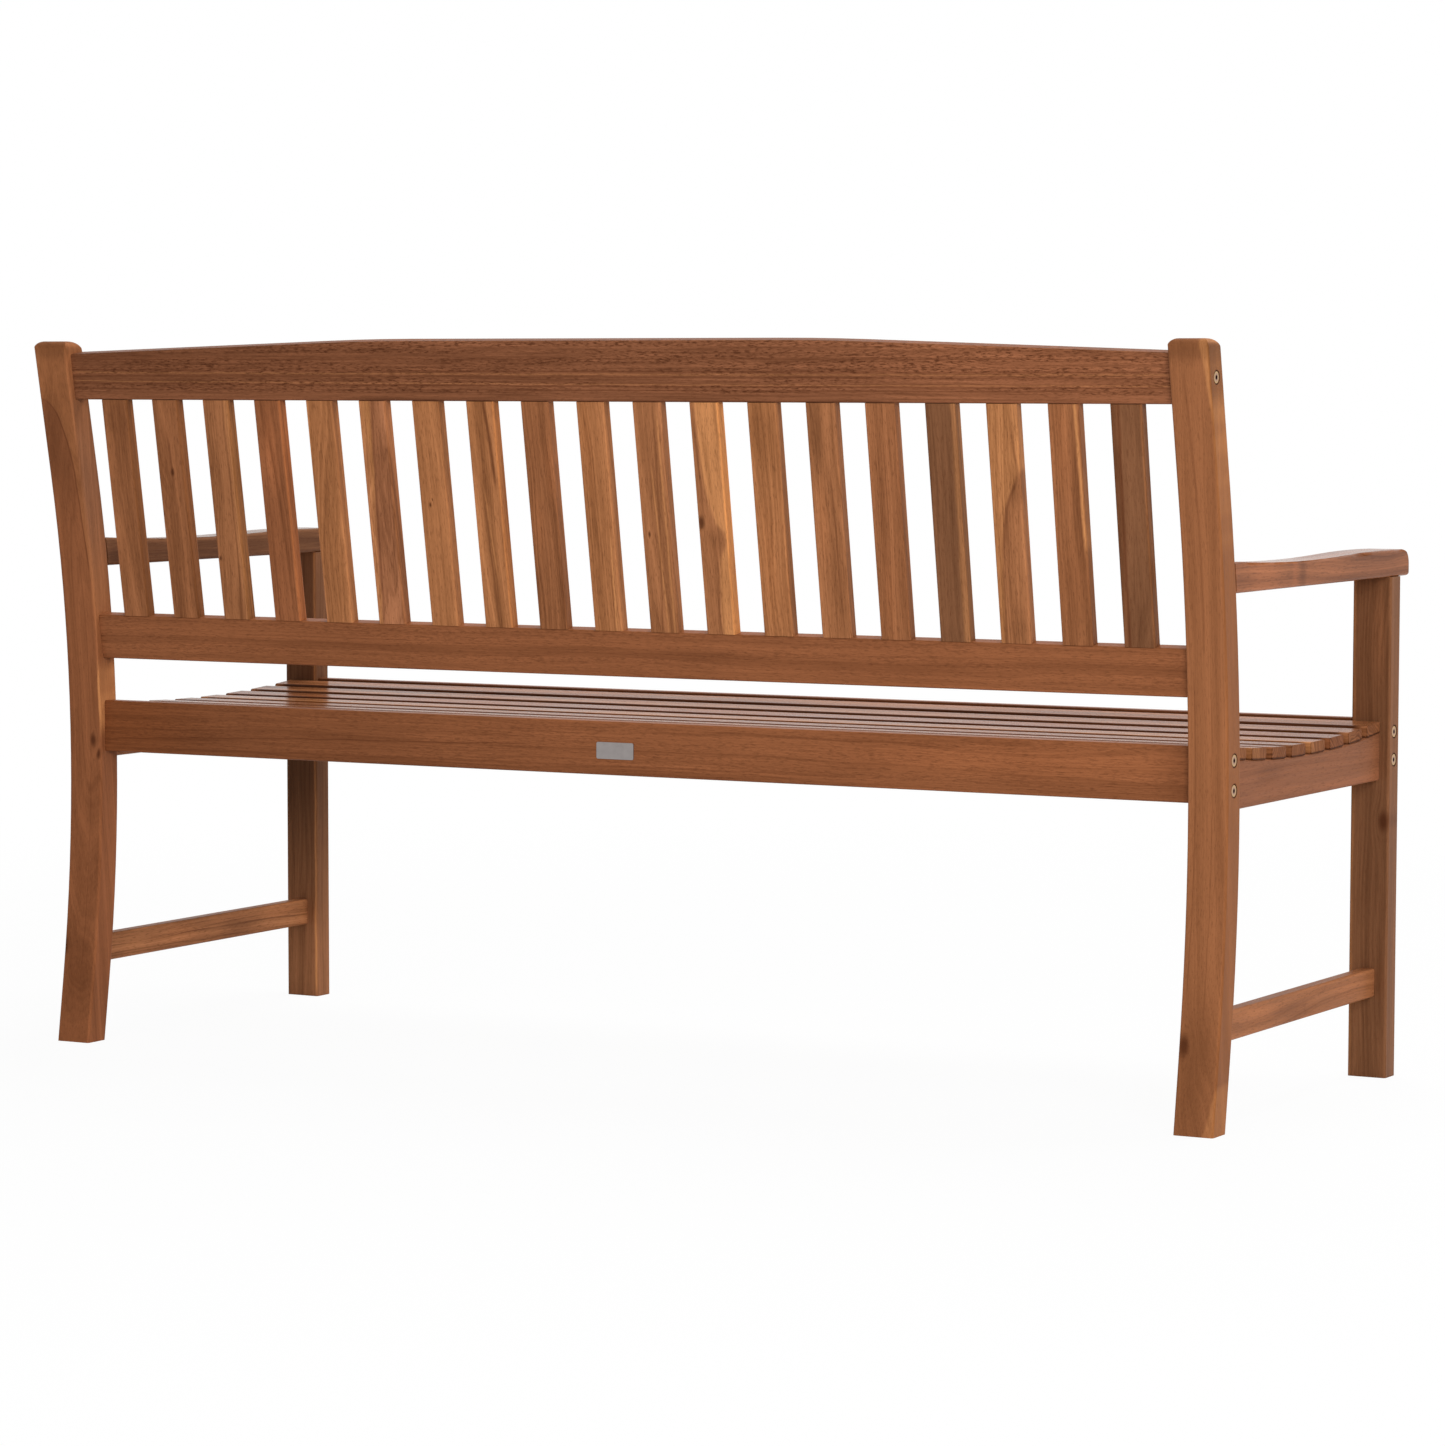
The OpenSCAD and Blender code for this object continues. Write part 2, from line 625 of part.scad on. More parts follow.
rear_post(LEFT);  // rear_post_left
rear_post(RIGHT);  // rear_post_right
front_leg(LEFT);  // front_leg_left
front_leg(RIGHT);  // front_leg_right
armrest(LEFT);  // armrest_left
armrest(RIGHT);  // armrest_right
seat_side_rail(LEFT);  // seat_side_rail_left
seat_side_rail(RIGHT);  // seat_side_rail_right
lower_stretcher(LEFT);  // lower_stretcher_left
lower_stretcher(RIGHT);  // lower_stretcher_right
rear_seat_rail();
front_seat_rail();
seat_bearer(LEFT);  // seat_bearer_left
seat_bearer(RIGHT);  // seat_bearer_right
lower_back_rail();
crest_rail();
crest_bolts();
rear_rail_bolts();
front_rail_bolts();
barrel_nuts();
back_dowels();
bearer_dowels();
slat_screws();
blank_plate();
for (i = [1:seat_n]) seat_slat(i);
for (i = [1:back_n]) back_slat(i);
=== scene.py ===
"""A slatted garden bench in oiled hardwood, seen from behind on a white studio floor."""
import math
import random

import bpy
from mathutils import Euler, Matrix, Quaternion, Vector


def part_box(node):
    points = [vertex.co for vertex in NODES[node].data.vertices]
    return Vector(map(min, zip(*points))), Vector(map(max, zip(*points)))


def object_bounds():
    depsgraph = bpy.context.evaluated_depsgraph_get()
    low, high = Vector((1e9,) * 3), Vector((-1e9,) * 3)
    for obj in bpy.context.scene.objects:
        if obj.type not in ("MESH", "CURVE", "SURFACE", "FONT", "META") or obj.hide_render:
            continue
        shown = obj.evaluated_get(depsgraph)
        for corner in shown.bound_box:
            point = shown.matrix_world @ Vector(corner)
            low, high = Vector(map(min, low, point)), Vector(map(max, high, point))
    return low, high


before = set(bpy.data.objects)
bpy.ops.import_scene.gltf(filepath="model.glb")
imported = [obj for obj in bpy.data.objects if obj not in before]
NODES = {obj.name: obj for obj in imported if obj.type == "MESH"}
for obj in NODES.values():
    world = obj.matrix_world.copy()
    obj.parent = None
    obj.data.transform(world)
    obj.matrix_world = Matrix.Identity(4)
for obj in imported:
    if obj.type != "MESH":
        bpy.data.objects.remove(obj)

CAD_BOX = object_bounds()
BACK_SLATS = sorted(name for name in NODES if name.startswith("back_slat_"))
SEAT_SLATS = sorted(name for name in NODES if name.startswith("seat_slat_"))
MM = 0.001


# ===== Camera ================================================================================
CAMERA_PLACE = (-2.7533, 5.0105, 0.8196)
CAMERA_AIM = (0.4997, -0.8621, -0.0838)
CAMERA_ROLL = -0.045  # degrees
LENS = 122.23  # millimetres, on a sensor 36 wide
SHIFT = (0.0877, 0.0327)


def studio_camera():
    """Low behind the bench, towards its -X end, with a long lens."""
    data = bpy.data.cameras.new("camera")
    data.sensor_width = 36
    data.lens = LENS
    data.shift_x, data.shift_y = SHIFT
    data.clip_end = 200
    camera = bpy.data.objects.new("camera", data)
    camera.location = CAMERA_PLACE
    aim = Vector(CAMERA_AIM).to_track_quat("-Z", "Y")
    roll = Quaternion((0, 0, 1), math.radians(CAMERA_ROLL))
    camera.rotation_euler = (aim @ roll).to_euler()
    bpy.context.scene.collection.objects.link(camera)
    bpy.context.scene.camera = camera


# ===== Colour ================================================================================
def tone(red, green, blue):
    """A colour as a paint chart has it, 0 to 255, made the linear colour that nodes take."""
    def linear(value):
        value = value / 255
        return value / 12.92 if value <= 0.04045 else ((value + 0.055) / 1.055) ** 2.4
    return (linear(red), linear(green), linear(blue), 1.0)


def tint(colour, red, green, blue):
    """The colour with each channel made stronger or weaker."""
    return tuple(min(1.0, a * b) for a, b in zip(colour, (red, green, blue))) + (1.0,)


# ===== A small kit for materials =============================================================
class Finish:
    """A material, with one short method for each kind of node that the finishes below need."""

    def __init__(self, name):
        self.material = bpy.data.materials.new(name)
        self.material.use_nodes = True
        self.nodes = self.material.node_tree.nodes
        self.links = self.material.node_tree.links
        self.nodes.clear()
        self.shader = self.nodes.new("ShaderNodeBsdfPrincipled")
        self.output = self.nodes.new("ShaderNodeOutputMaterial")
        self.links.new(self.shader.outputs["BSDF"], self.output.inputs["Surface"])

    def plug(self, value, socket):
        if isinstance(value, bpy.types.NodeSocket):
            self.links.new(value, socket)
        else:
            socket.default_value = value

    def maths(self, operation, first, second=0.0, third=0.0):
        node = self.nodes.new("ShaderNodeMath")
        node.operation = operation
        for value, socket in zip((first, second, third), node.inputs):
            self.plug(value, socket)
        return node.outputs[0]

    def times(self, first, second):
        return self.maths("MULTIPLY", first, second)

    def unsigned(self, value):
        """The value without its sign."""
        return self.maths("ABSOLUTE", value)

    def add(self, *values):
        total = values[0]
        for value in values[1:]:
            total = self.maths("ADD", total, value)
        return total

    def about_half(self, value, weight):
        """The value less a half, times its weight."""
        return self.maths("MULTIPLY_ADD", value, weight, -0.5 * weight)

    def vector(self, operation, first, second=(0, 0, 0)):
        node = self.nodes.new("ShaderNodeVectorMath")
        node.operation = operation
        self.plug(first, node.inputs[0])
        self.plug(second, node.inputs["Scale" if operation == "SCALE" else 1])
        return node.outputs["Value" if operation == "LENGTH" else "Vector"]

    def length(self, vector, stretch):
        return self.vector("LENGTH", self.vector("MULTIPLY", vector, stretch))

    def parts(self, vector):
        node = self.nodes.new("ShaderNodeSeparateXYZ")
        self.plug(vector, node.inputs[0])
        return node.outputs

    def noise(self, vector, stretch=(1, 1, 1), detail=2.0, roughness=0.5):
        node = self.nodes.new("ShaderNodeTexNoise")
        self.plug(self.vector("MULTIPLY", vector, stretch), node.inputs["Vector"])
        node.inputs["Scale"].default_value = 1.0
        node.inputs["Detail"].default_value = detail
        node.inputs["Roughness"].default_value = roughness
        return node.outputs

    def bands(self, value, per_mm, detail=1.0):
        """Uneven bands that follow one number."""
        node = self.nodes.new("ShaderNodeTexNoise")
        node.noise_dimensions = "1D"
        self.plug(self.maths("MULTIPLY", value, per_mm), node.inputs["W"])
        node.inputs["Scale"].default_value = 1.0
        node.inputs["Detail"].default_value = detail
        return node.outputs["Fac"]

    def fade(self, value, start, stop, first=0.0, last=1.0):
        """A smooth step from the first level to the last one, as the value goes from start to stop."""
        node = self.nodes.new("ShaderNodeMapRange")
        node.interpolation_type = "SMOOTHSTEP"
        for given, socket in zip((value, start, stop, first, last), node.inputs):
            self.plug(given, socket)
        return node.outputs[0]

    def ramp(self, value, *stops):
        """Stops are (place, colour or grey level)."""
        node = self.nodes.new("ShaderNodeValToRGB")
        bar = node.color_ramp.elements
        while len(bar) < len(stops):
            bar.new(0.5)
        for element, (place, colour) in zip(bar, stops):
            element.position = place
            element.color = colour if isinstance(colour, tuple) else (colour, colour, colour, 1.0)
        self.plug(value, node.inputs["Fac"])
        return node.outputs["Color"]

    def mix(self, factor, first, second, blend="MIX"):
        node = self.nodes.new("ShaderNodeMix")
        node.data_type = "RGBA"
        node.blend_type = blend
        for given, socket in zip((factor, first, second), (node.inputs[i] for i in (0, 6, 7))):
            self.plug(given, socket)
        return node.outputs[2]

    def bump(self, height, strength, depth_mm):
        node = self.nodes.new("ShaderNodeBump")
        node.inputs["Strength"].default_value = strength
        node.inputs["Distance"].default_value = depth_mm * MM
        self.plug(height, node.inputs["Height"])
        self.plug(node.outputs["Normal"], self.shader.inputs["Normal"])

    def millimetres(self, middle, turn):
        """Object coordinates in millimetres from a point, turned so that x runs along the grain,
        z across the board and y through it."""
        turn = Euler(turn)
        coordinates = self.nodes.new("ShaderNodeTexCoord")
        mapping = self.nodes.new("ShaderNodeMapping")
        mapping.inputs["Scale"].default_value = (1 / MM, 1 / MM, 1 / MM)
        mapping.inputs["Rotation"].default_value = turn
        mapping.inputs["Location"].default_value = -(turn.to_matrix() @ (Vector(middle) / MM))
        self.links.new(coordinates.outputs["Object"], mapping.inputs["Vector"])
        return mapping.outputs["Vector"]

    def drawn_line(self, along, points):
        """How far across the board a line drawn through points runs, at each place along it."""
        reach = 100  # the curve's range, half of it on each side of the board's middle line
        start, stop = points[0][0], points[-1][0]
        node = self.nodes.new("ShaderNodeFloatCurve")
        curve = node.mapping.curves[0]
        places = [((x - start) / (stop - start), z / reach + 0.5) for x, z in points]
        curve.points[0].location = places[0]
        curve.points[-1].location = places[-1]
        for place in places[1:-1]:
            curve.points.new(*place)
        node.mapping.update()
        self.plug(self.maths("DIVIDE", self.maths("SUBTRACT", along, start), stop - start),
                  node.inputs["Value"])
        return self.maths("MULTIPLY_ADD", node.outputs[0], reach, -reach / 2)


def put_on(name, material):
    for slot in NODES[name].material_slots:
        slot.material = material


# ===== Wood ==================================================================================
ALONG_X = (0.0, 0.0, 0.0)
ALONG_Y = (0.0, 0.0, math.radians(-90))
SAPWOOD = tone(188, 127, 79)
HEARTWOOD = tone(104, 58, 32)
WOODS = {"umber": tone(116, 76, 50), "brown": tone(125, 78, 52), "russet": tone(136, 83, 52),
         "chestnut": tone(142, 90, 57), "tan": tone(150, 97, 62), "honey": tone(160, 104, 65),
         "amber": tone(168, 110, 75)}
DARK_VEIN = tint(HEARTWOOD, 0.7, 0.64, 0.64)
PALE_STREAK = tint(SAPWOOD, 1.1, 1.1, 1.1)
DARK_FLECK = tint(HEARTWOOD, 0.5, 0.46, 0.46)
KNOT_HEART = tint(HEARTWOOD, 0.5, 0.45, 0.45)
OPEN_PORE = tint(HEARTWOOD, 0.55, 0.52, 0.52)
END_LATE_WOOD = tint(HEARTWOOD, 0.38, 0.38, 0.38)
END_EARLY_WOOD = tint(HEARTWOOD, 1.18, 1.32, 1.6)
# Multiplied with what is already there
PALE_FLECK = (1.34, 1.36, 1.4, 1)
# Pale edges: partly wear, partly a painted highlight
EDGE_WEAR_AND_HIGHLIGHT = (1.3, 1.3, 1.3, 1)
# Painted shade in and round a bolt's counterbore
PAINTED_BORE_SHADE = (0.42, 0.36, 0.34, 1)
# Painted contact shadow under the ends of a board that lies on another
CONTACT_SHADOW_TINT = (0.3, 0.25, 0.22, 1)
# How fast each layer of the figure changes along the grain, through the board and across it, per mm
SWAY = (0.0026, 0.02, 0.02)
STREAKS = (0.0018, 0.085, 0.085)
FIBRE = (0.012, 0.62, 0.62)
PORES = (0.11, 0.95, 0.95)
CLOUDS = (0.007, 0.016, 0.016)
LAYERS = (0.005, 0.36, 0.36)
DASH_WAVES = (0.03, 0.05, 0.05)
DASHES = (0.13, 0.7, 0.7)
DASH_ROWS = (0.004, 0.12, 0.12)
WANDER = (0.02, 0.0, 0.0)
BROAD_RINGS, FINE_RINGS = 0.085, 0.45
MIDDLE_GREY = (0.5, 0.5, 0.5)
HEAD_R = 6.5  # a bolt's head, in millimetres


def upright(lean=0.0):
    """Turns a board that leans back by so many degrees on to the grain's own axis."""
    return (math.radians(lean), math.radians(90), 0.0)


def wood_tones(colour):
    """One board's colours, from its dark late wood to its pale early wood."""
    return ((0.12, tint(colour, 0.46, 0.41, 0.38)), (0.36, tint(colour, 0.80, 0.78, 0.76)),
            (0.50, colour), (0.64, tint(colour, 1.17, 1.18, 1.19)),
            (0.90, tint(colour, 1.45, 1.50, 1.55)))


def warm(level, green, blue):
    """A level to multiply with, its green and blue a share of its red."""
    return (level, level * green, level * blue, 1)


def board_size(board, turn):
    """Length, thickness and width in millimetres, worked out from the box round a turned board."""
    low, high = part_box(board)
    length, depth, height = ((b - a) / MM for a, b in zip(low, high))
    if turn[1] != 0 or turn[2] != 0:
        return [abs(value) for value in Euler(turn).to_matrix() @ Vector((length, depth, height))]
    lean = abs(turn[0]) % (math.pi / 2)
    lean = min(lean, math.pi / 2 - lean)
    flat, steep, spread = math.cos(lean), math.sin(lean), math.cos(2 * lean)
    depth, height = (depth * flat - height * steep) / spread, (height * flat - depth * steep) / spread
    lies_flat = abs(turn[0]) >= math.pi / 4
    return (length, height, depth) if lies_flat else (length, depth, height)


class Board:
    """One board: its finish, its own axes in millimetres from its middle, and its figure.
    The axes are along the grain, through the board and across it."""

    def __init__(self, name, turn):
        low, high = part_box(name)
        self.turn = turn
        self.middle = (Vector(low) + Vector(high)) / 2
        self.length, self.thickness, self.width = board_size(name, turn)
        self.finish = Finish(name + "_wood")
        self.here = self.finish.millimetres(self.middle, turn)
        self.along, self.through, self.across = self.finish.parts(self.here)

    def grow(self, draw, knots, contrast, fleck):
        """Growth rings run round a heart line beside the board, so that faces show long figure
        and sawn ends show arcs. Over them lie broad streaks, fine fibre and clouds of colour."""
        finish = self.finish
        flow = self.flow_round(knots)
        self.grain = finish.vector("ADD", flow, tuple(draw.uniform(-900, 900) for _ in range(3)))
        heart_line = (0, draw.uniform(22, 75) * draw.choice((-1, 1)),
                      draw.uniform(10, 70) * draw.choice((-1, 1)))
        sway = finish.vector("SUBTRACT", finish.noise(self.grain, SWAY, 2)["Color"], MIDDLE_GREY)
        bent = finish.vector("ADD", flow, finish.vector("MULTIPLY", sway, (0, 34, 34)))
        radius = finish.length(finish.vector("SUBTRACT", bent, heart_line), (0, 1, 1))
        radius = finish.add(radius, draw.uniform(0, 400))
        self.fine_rings = finish.bands(radius, FINE_RINGS, 2)
        self.fibre = finish.noise(self.grain, FIBRE, 3, 0.65)["Fac"]
        self.pores = finish.noise(self.grain, PORES, 2, 0.6)["Fac"]
        self.cloud = finish.noise(self.grain, CLOUDS, 1)["Fac"]
        layers = [(finish.bands(radius, BROAD_RINGS, 1), 0.55), (self.fine_rings, 0.5),
                  (finish.noise(self.grain, STREAKS, 3)["Fac"], 0.5), (self.fibre, 0.6), (self.cloud, 0.35)]
        if fleck:
            layers.append((finish.noise(self.grain, LAYERS, 3, 0.6)["Fac"], 1.6 * fleck))
        figure = finish.add(*(finish.about_half(layer, weight) for layer, weight in layers))
        self.figure = finish.maths("MULTIPLY_ADD", figure, contrast, 0.5)
        self.wander = finish.about_half(finish.noise(self.grain, WANDER, 2)["Fac"], 6)

    def flow_round(self, knots):
        """The axes, bent where the fibre flows round each knot."""
        finish, flow = self.finish, self.here
        self.knots = []
        for along, across, radius in knots:
            away = finish.vector("SUBTRACT", flow, (along, 0, across))
            gap = finish.length(away, (0.5, 0, 1))
            hold = finish.fade(gap, 0, 3.4 * radius, 1, 0)
            pull = finish.vector("MULTIPLY", away, (0, 0, 1))
            flow = finish.vector("SUBTRACT", flow, finish.vector("SCALE", pull, hold))
            self.knots.append((gap, radius))
        return flow

    def near_end(self, start, stop, first=0.0, last=1.0):
        """A smooth step between two distances in from both sawn ends."""
        half = self.length / 2
        return self.finish.fade(self.finish.unsigned(self.along), half - start, half - stop, first, last)

    def near_side(self, side, start, stop):
        """A smooth step between two distances in from one long edge."""
        half = self.width / 2
        return self.finish.fade(self.finish.times(self.across, side), half - start, half - stop)


# ===== Marks that one board alone has ========================================================
def other_wood(board, body, colour, side, strength, points, border=2.0):
    """Wood of another colour on one side of a drawn line."""
    finish = board.finish
    line = finish.add(finish.drawn_line(board.along, points), board.wander)
    past = finish.times(finish.maths("SUBTRACT", board.across, line), side)
    share = finish.fade(past, -border, border, 0, strength)
    return finish.mix(share, body, finish.ramp(board.figure, *wood_tones(colour)))


def sap(board, body, *where):
    return other_wood(board, body, SAPWOOD, *where)


def heart(board, body, *where):
    return other_wood(board, body, HEARTWOOD, *where)


def thin_line(board, body, colour, width, strength, points):
    """A line of one colour through drawn points, which dies out round its first and last one."""
    inside, outside = 22, 12
    finish = board.finish
    line = finish.add(finish.drawn_line(board.along, points), finish.times(board.wander, 0.5))
    off = finish.unsigned(finish.maths("SUBTRACT", board.across, line))
    first, last = points[0][0], points[-1][0]
    run = finish.times(finish.fade(board.along, first - outside, first + inside),
                       finish.fade(board.along, last - inside, last + outside, 1, 0))
    return finish.mix(finish.times(finish.fade(off, 0, width, strength, 0), run), body, colour)


def vein(board, body, *where):
    return thin_line(board, body, DARK_VEIN, *where)


def streak(board, body, *where):
    return thin_line(board, body, PALE_STREAK, *where)


def patch(board, body, middle, reach, level):
    """An oval of another tone, which some boards use as painted light and shade. Level is one number, or red,
    green and blue.
    """
    finish = board.finish
    off = finish.vector("SUBTRACT", board.here, (middle[0], 0, middle[1]))
    share = finish.fade(finish.length(off, (1 / reach[0], 0, 1 / reach[1])), 0.1, 1.2, 1, 0)
    shade = (*level, 1) if isinstance(level, tuple) else warm(level, 0.98, 0.96)
    return finish.mix(share, body, shade, "MULTIPLY")


def painted_side_light(board, body, side, level):
    """A long narrow face painted lighter or darker for how light falls on it: painted light above 1, painted
    shade below 1.
    """
    return board.finish.mix(board.near_side(side, 3.2, 0.6), body, warm(level, 0.95, 0.84), "MULTIPLY")


def painted_gap_shade(board, body, side, level, clear):
    """Painted shade on a narrow face where the next board is close. It is left clear near the face's ends,
    where light reaches.
    """
    share = board.finish.times(board.near_side(side, 3.4, 1.6), board.near_end(clear, clear - 14, 1, 0))
    return board.finish.mix(share, body, warm(level, 0.8, 0.65), "MULTIPLY")


def painted_face_shade(board, body, side, level):
    """Painted shade on a broad face and on a strip of the faces beside it."""
    half = board.thickness / 2
    share = board.finish.fade(board.finish.times(board.through, side), half - 9, half - 1)
    return board.finish.mix(share, body, warm(level, 0.9, 0.8), "MULTIPLY")


def bore(board, body, *place):
    """A dark ring of painted shade in and round the counterbore, where a bolt's hole opens."""
    finish = board.finish
    place = Euler(board.turn).to_matrix() @ (Vector(place) - board.middle) / MM
    off = finish.length(finish.vector("SUBTRACT", board.here, tuple(place)), (1, 1, 0))
    return finish.mix(finish.fade(off, HEAD_R + 0.7, HEAD_R + 2.4, 1, 0), body, PAINTED_BORE_SHADE, "MULTIPLY")


MARK_MAKERS = {"sap": sap, "heart": heart, "vein": vein, "streak": streak, "patch": patch,
               "side": painted_side_light, "gap": painted_gap_shade, "face": painted_face_shade, "bore": bore}


# ===== What lies over a board's figure =======================================================
def flecks(board, body, amount):
    """The short dark and pale dashes of interlocked grain, in rows that leave the lower edge clear."""
    finish, foot = board.finish, -board.width / 2
    wave = finish.vector("SUBTRACT", finish.noise(board.grain, DASH_WAVES, 1)["Color"], MIDDLE_GREY)
    waved = finish.vector("ADD", board.grain, finish.vector("MULTIPLY", wave, (0, 4, 4)))
    dashes = finish.noise(waved, DASHES, 2, 0.65)["Fac"]
    rows = finish.fade(finish.noise(board.grain, DASH_ROWS, 2)["Fac"], 0.40, 0.56, 0.25, 1)
    rows = finish.times(rows, finish.fade(board.across, foot + 7, foot + 12, 0.12, 1))
    pale = finish.times(finish.fade(dashes, 0.48, 0.36, 0, amount * 0.6), rows)
    body = finish.mix(pale, body, PALE_FLECK, "MULTIPLY")
    dark = finish.times(finish.fade(dashes, 0.50, 0.64, 0, amount), rows)
    return finish.mix(dark, body, DARK_FLECK)


def knot_hearts(board, body):
    for gap, radius in board.knots:
        share = board.finish.fade(gap, radius * 0.3, radius * 1.5, 0.85, 0)
        body = board.finish.mix(share, body, KNOT_HEART)
    return body


def end_grain(board, body, ends):
    rings = board.finish.ramp(board.fine_rings, (0.38, END_LATE_WOOD), (0.62, END_EARLY_WOOD))
    return board.finish.mix(ends, body, rings)


def painted_contact_shadow(board, body):
    """Painted contact shadow: a dark line along the foot of both ends, where the board lies on another."""
    foot = -board.thickness / 2
    low = board.finish.fade(board.through, foot + 0.6, foot + 2.6, 1, 0)
    share = board.finish.times(low, board.near_end(3, 1))
    return board.finish.mix(share, body, CONTACT_SHADOW_TINT, "MULTIPLY")


def wear_and_highlight_edges(board, body, amount):
    """Long edges made pale here and there, partly by wear and partly as a painted highlight on their
    rounding.
    """
    finish, half = board.finish, board.width / 2
    reach = finish.unsigned(board.across)
    wear_and_sheen_share = finish.times(finish.fade(reach, half - 3.4, half - 1.8),
                        finish.fade(reach, half - 1.2, half - 0.2, 1, 0))
    wear_and_sheen_share = finish.times(wear_and_sheen_share, finish.fade(board.cloud, 0.35, 0.65, 0, amount))
    return finish.mix(wear_and_sheen_share, body, EDGE_WEAR_AND_HIGHLIGHT, "MULTIPLY")


def oiled(board, pits, ends, matt):
    """Sheen of the oil, broken by the fibre and dull on sawn ends."""
    finish = board.finish
    rough = finish.add(finish.about_half(board.fibre, 0.3), finish.about_half(board.cloud, 0.15), matt,
                       finish.times(ends, 0.5))
    finish.plug(rough, finish.shader.inputs["Roughness"])
    finish.shader.inputs["IOR"].default_value = 1.12
    finish.bump(finish.maths("MULTIPLY_ADD", pits, -1.2, board.fibre), 0.25, 0.3)


def wood(name, turn, colour, seed, contrast=1.0, fleck=0.0, pore=0.4, edge_highlight_and_wear=0.4, matt=0.4,
         sawn=0.3, contact_shadow=False, marks=()):
    """Oiled hardwood cut from one plank. Fleck adds the dashes of interlocked grain. The marks are
    what this board alone has. A board that lies on others gets a painted contact shadow along the foot of its
    ends."""
    board = Board(name, turn)
    finish = board.finish
    board.grow(random.Random(seed), [where for kind, *where in marks if kind == "knot"], contrast, fleck)
    body = finish.ramp(board.figure, *wood_tones(colour))
    for kind, *where in marks:
        if kind != "knot":
            body = MARK_MAKERS[kind](board, body, *where)
    if fleck:
        body = flecks(board, body, fleck)
    body = knot_hearts(board, body)
    pits = finish.fade(board.pores, 0.52, 0.70, 0, pore)
    body = finish.mix(pits, body, OPEN_PORE)
    ends = board.near_end(1.6, 0.4, 0, sawn)
    body = end_grain(board, body, ends)
    if contact_shadow:
        body = painted_contact_shadow(board, body)
    finish.plug(wear_and_highlight_edges(board, body, edge_highlight_and_wear), finish.shader.inputs["Base Color"])
    oiled(board, pits, ends, matt)
    return finish.material


# ===== Metal =================================================================================
POLISH = (0.6, 0.6, 0.6)  # fine marks, the same in all directions, per mm
BRUSHED = (0.03, 5, 5)  # marks drawn out along X
# From a socket dark with painted shade, over a dull face, to a turned rim made bright as a painted highlight
# and an outer edge of painted shade, by the share of the head's radius
PAINTED_BRASS_HEAD = ((0.28, (0.05, 0.02, 0.012, 1)), (0.44, (0.34, 0.17, 0.10, 1)), (0.56, (0.52, 0.32, 0.22, 1)),
              (0.70, (0.42, 0.25, 0.13, 1)), (0.80, (0.66, 0.44, 0.20, 1)), (0.92, (0.46, 0.27, 0.11, 1)),
              (1.0, (0.22, 0.12, 0.05, 1)))


def polished(finish, here, stretch, roughness):
    """Bare metal, its polish broken by fine marks, which it gives back."""
    marks = finish.noise(here, stretch, 4, 0.6)["Fac"]
    finish.shader.inputs["Metallic"].default_value = 1.0
    finish.plug(finish.maths("MULTIPLY_ADD", marks, 0.3, roughness - 0.15), finish.shader.inputs["Roughness"])
    finish.bump(marks, 0.12, 0.1)
    return marks


def metal(name, colour, roughness, stretch=POLISH, clouding=0.2):
    """Plain metal, slightly clouded."""
    finish = Finish(name)
    here = finish.millimetres((0, 0, 0), ALONG_X)
    polished(finish, here, stretch, roughness)
    cloud = finish.noise(here, (0.14, 0.14, 0.14), 3)["Fac"]
    dull, bright = (tint(colour, level, level, level) for level in (1 - clouding, 1 + clouding / 2))
    finish.plug(finish.ramp(cloud, (0.3, dull), (0.7, bright)), finish.shader.inputs["Base Color"])
    return finish.material


def bolt_places(name):
    """Where the heads of one set of bolts are, seen from the side, in metres."""
    low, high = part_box(name)
    depth = (low[1] + high[1]) / 2
    return [(0, depth, z) for z in sorted({round(low[2] + HEAD_R * MM, 4), round(high[2] - HEAD_R * MM, 4)})]


def bolt_heads(name):
    """Brass heads, each with a socket in painted shade, a dull face and a rim with a painted highlight."""
    finish = Finish(name + "_brass")
    here = finish.millimetres((0, 0, 0), ALONG_X)
    marks = polished(finish, here, POLISH, 0.37)
    radius = 100.0  # farther out than any head reaches
    for place in bolt_places(name):
        off = finish.vector("SUBTRACT", here, tuple(value / MM for value in place))
        radius = finish.maths("MINIMUM", finish.length(off, (0, 1, 1)), radius)
    share = finish.add(finish.maths("DIVIDE", radius, HEAD_R), finish.about_half(marks, 0.16))
    finish.plug(finish.ramp(share, *PAINTED_BRASS_HEAD), finish.shader.inputs["Base Color"])
    return finish.material
